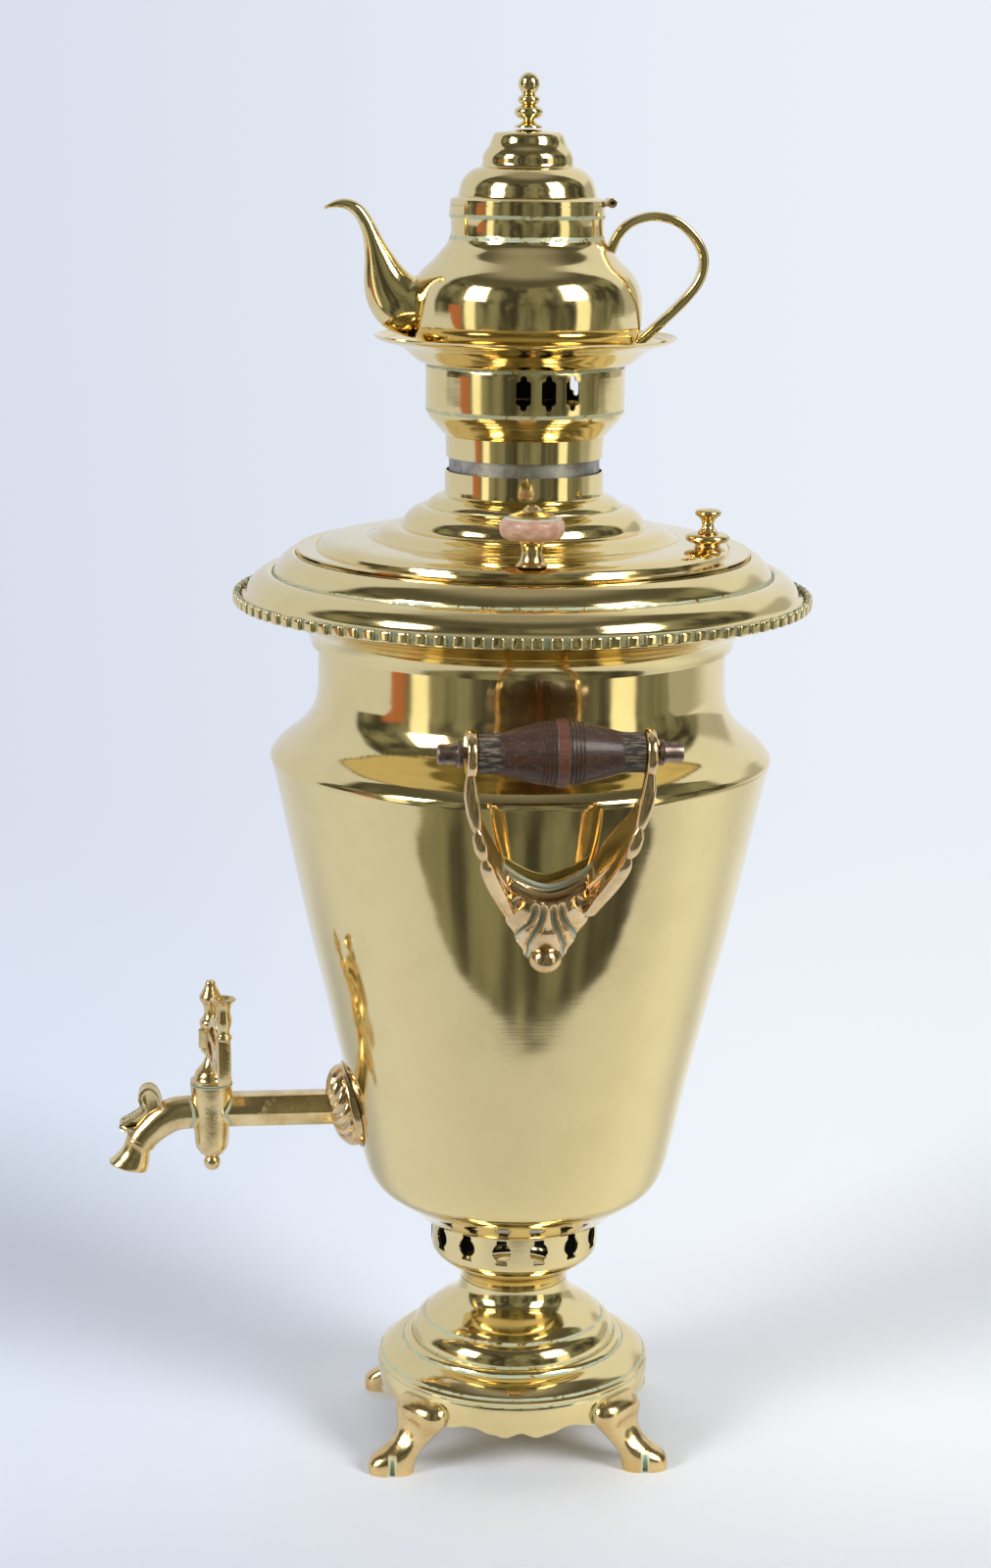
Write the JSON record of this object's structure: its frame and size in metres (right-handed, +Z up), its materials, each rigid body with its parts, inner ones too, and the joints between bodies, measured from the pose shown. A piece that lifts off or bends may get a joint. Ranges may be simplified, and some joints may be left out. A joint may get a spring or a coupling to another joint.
{
  "type": "samovar",
  "caption": "Tapering round brass samovar on a footed plinth, with a key-operated tap, wooden-grip handles, a knobbed lid, a slotted crown and a small teapot with a hinged lid.",
  "frame": {"origin": "on the floor under the middle of the outer box; the body's own axis stands 30.3 mm towards +X from it, because the tap reaches out to -X", "axes": "+Z up; the tap points to -X; the handles lie at -Y (front) and +Y (rear)"},
  "size_m": [0.3264, 0.3246, 0.6459],
  "materials": {
    "brass": "spun sheet brass, polished, with light wear",
    "cast_brass": "cast brass, redder and duller in its hollows",
    "tinned": "tinned brass, dull grey",
    "iron": "sooty cast iron",
    "wood": "dark varnished turned wood with worn ends",
    "stone": "pinkish matt stone-like disc"
  },
  "bodies": {
    "samovar_body": {"plinth": "brass", "foot_front_right": "cast_brass", "foot_front_left": "cast_brass", "foot_rear_right": "cast_brass", "foot_rear_left": "cast_brass", "vent_drum": "brass", "body_shell": "brass", "fire_tube": "tinned", "fire_grate": "iron", "top_flange": "brass", "bead_rim": "brass", "tap_rosette": "cast_brass", "tap_body": "cast_brass", "tap_lock_nut": "cast_brass", "handle_bracket_front": "cast_brass", "handle_nut_front": "cast_brass", "handle_bracket_rear": "cast_brass", "handle_nut_rear": "cast_brass"},
    "tap_plug": {"tap_key": "cast_brass", "tap_ball_nut": "cast_brass"},
    "lid_assembly": {"lid": "brass", "lid_knob_front_stem": "cast_brass", "lid_knob_front_disc": "stone", "lid_knob_front_cap": "brass", "lid_knob_rear_stem": "cast_brass", "lid_knob_rear_disc": "stone", "lid_knob_rear_cap": "brass", "steam_vent_seat": "cast_brass"},
    "steam_vent": {"steam_vent_knob": "cast_brass"},
    "smoke_crown": {"crown": "brass"},
    "teapot": {"teapot_shell": "brass", "teapot_spout": "brass", "teapot_handle": "brass", "teapot_hinge_pin": "cast_brass"},
    "teapot_cover": {"teapot_lid": "brass", "teapot_finial": "brass"},
    "front_grip": {"grip_front_wood": "wood", "grip_front_rod": "cast_brass"},
    "rear_grip": {"grip_rear_wood": "wood", "grip_rear_rod": "cast_brass"}
  },
  "joints": [
    {"name": "tap_turn", "type": "hinge", "parent": "samovar_body", "child": "tap_plug", "pos_m": [-0.11454, 0, 0.1666], "axis": [0, 0, 1], "continuous": true},
    {"name": "lid_lift", "type": "slide", "parent": "samovar_body", "child": "lid_assembly", "axis": [0, 0, 1], "range_m": [0, 0.07]},
    {"name": "steam_vent_turn", "type": "hinge", "parent": "lid_assembly", "child": "steam_vent", "pos_m": [0.10955, -0.0358, 0.445], "axis": [0, 0, 1], "range_deg": [0, 90]},
    {"name": "crown_lift", "type": "slide", "parent": "lid_assembly", "child": "smoke_crown", "axis": [0, 0, 1], "range_m": [0, 0.04]},
    {"name": "teapot_lift", "type": "slide", "parent": "smoke_crown", "child": "teapot", "axis": [0, 0, 1], "range_m": [0, 0.06]},
    {"name": "teapot_lid_open", "type": "hinge", "parent": "teapot", "child": "teapot_cover", "pos_m": [0.06764, 0, 0.5893], "axis": [0, 1, 0], "range_deg": [0, 95]},
    {"name": "front_grip_turn", "type": "hinge", "parent": "samovar_body", "child": "front_grip", "pos_m": [0.03026, -0.148, 0.3688], "axis": [1, 0, 0], "continuous": true},
    {"name": "rear_grip_turn", "type": "hinge", "parent": "samovar_body", "child": "rear_grip", "pos_m": [0.03026, 0.148, 0.3688], "axis": [1, 0, 0], "continuous": true}
  ]
}
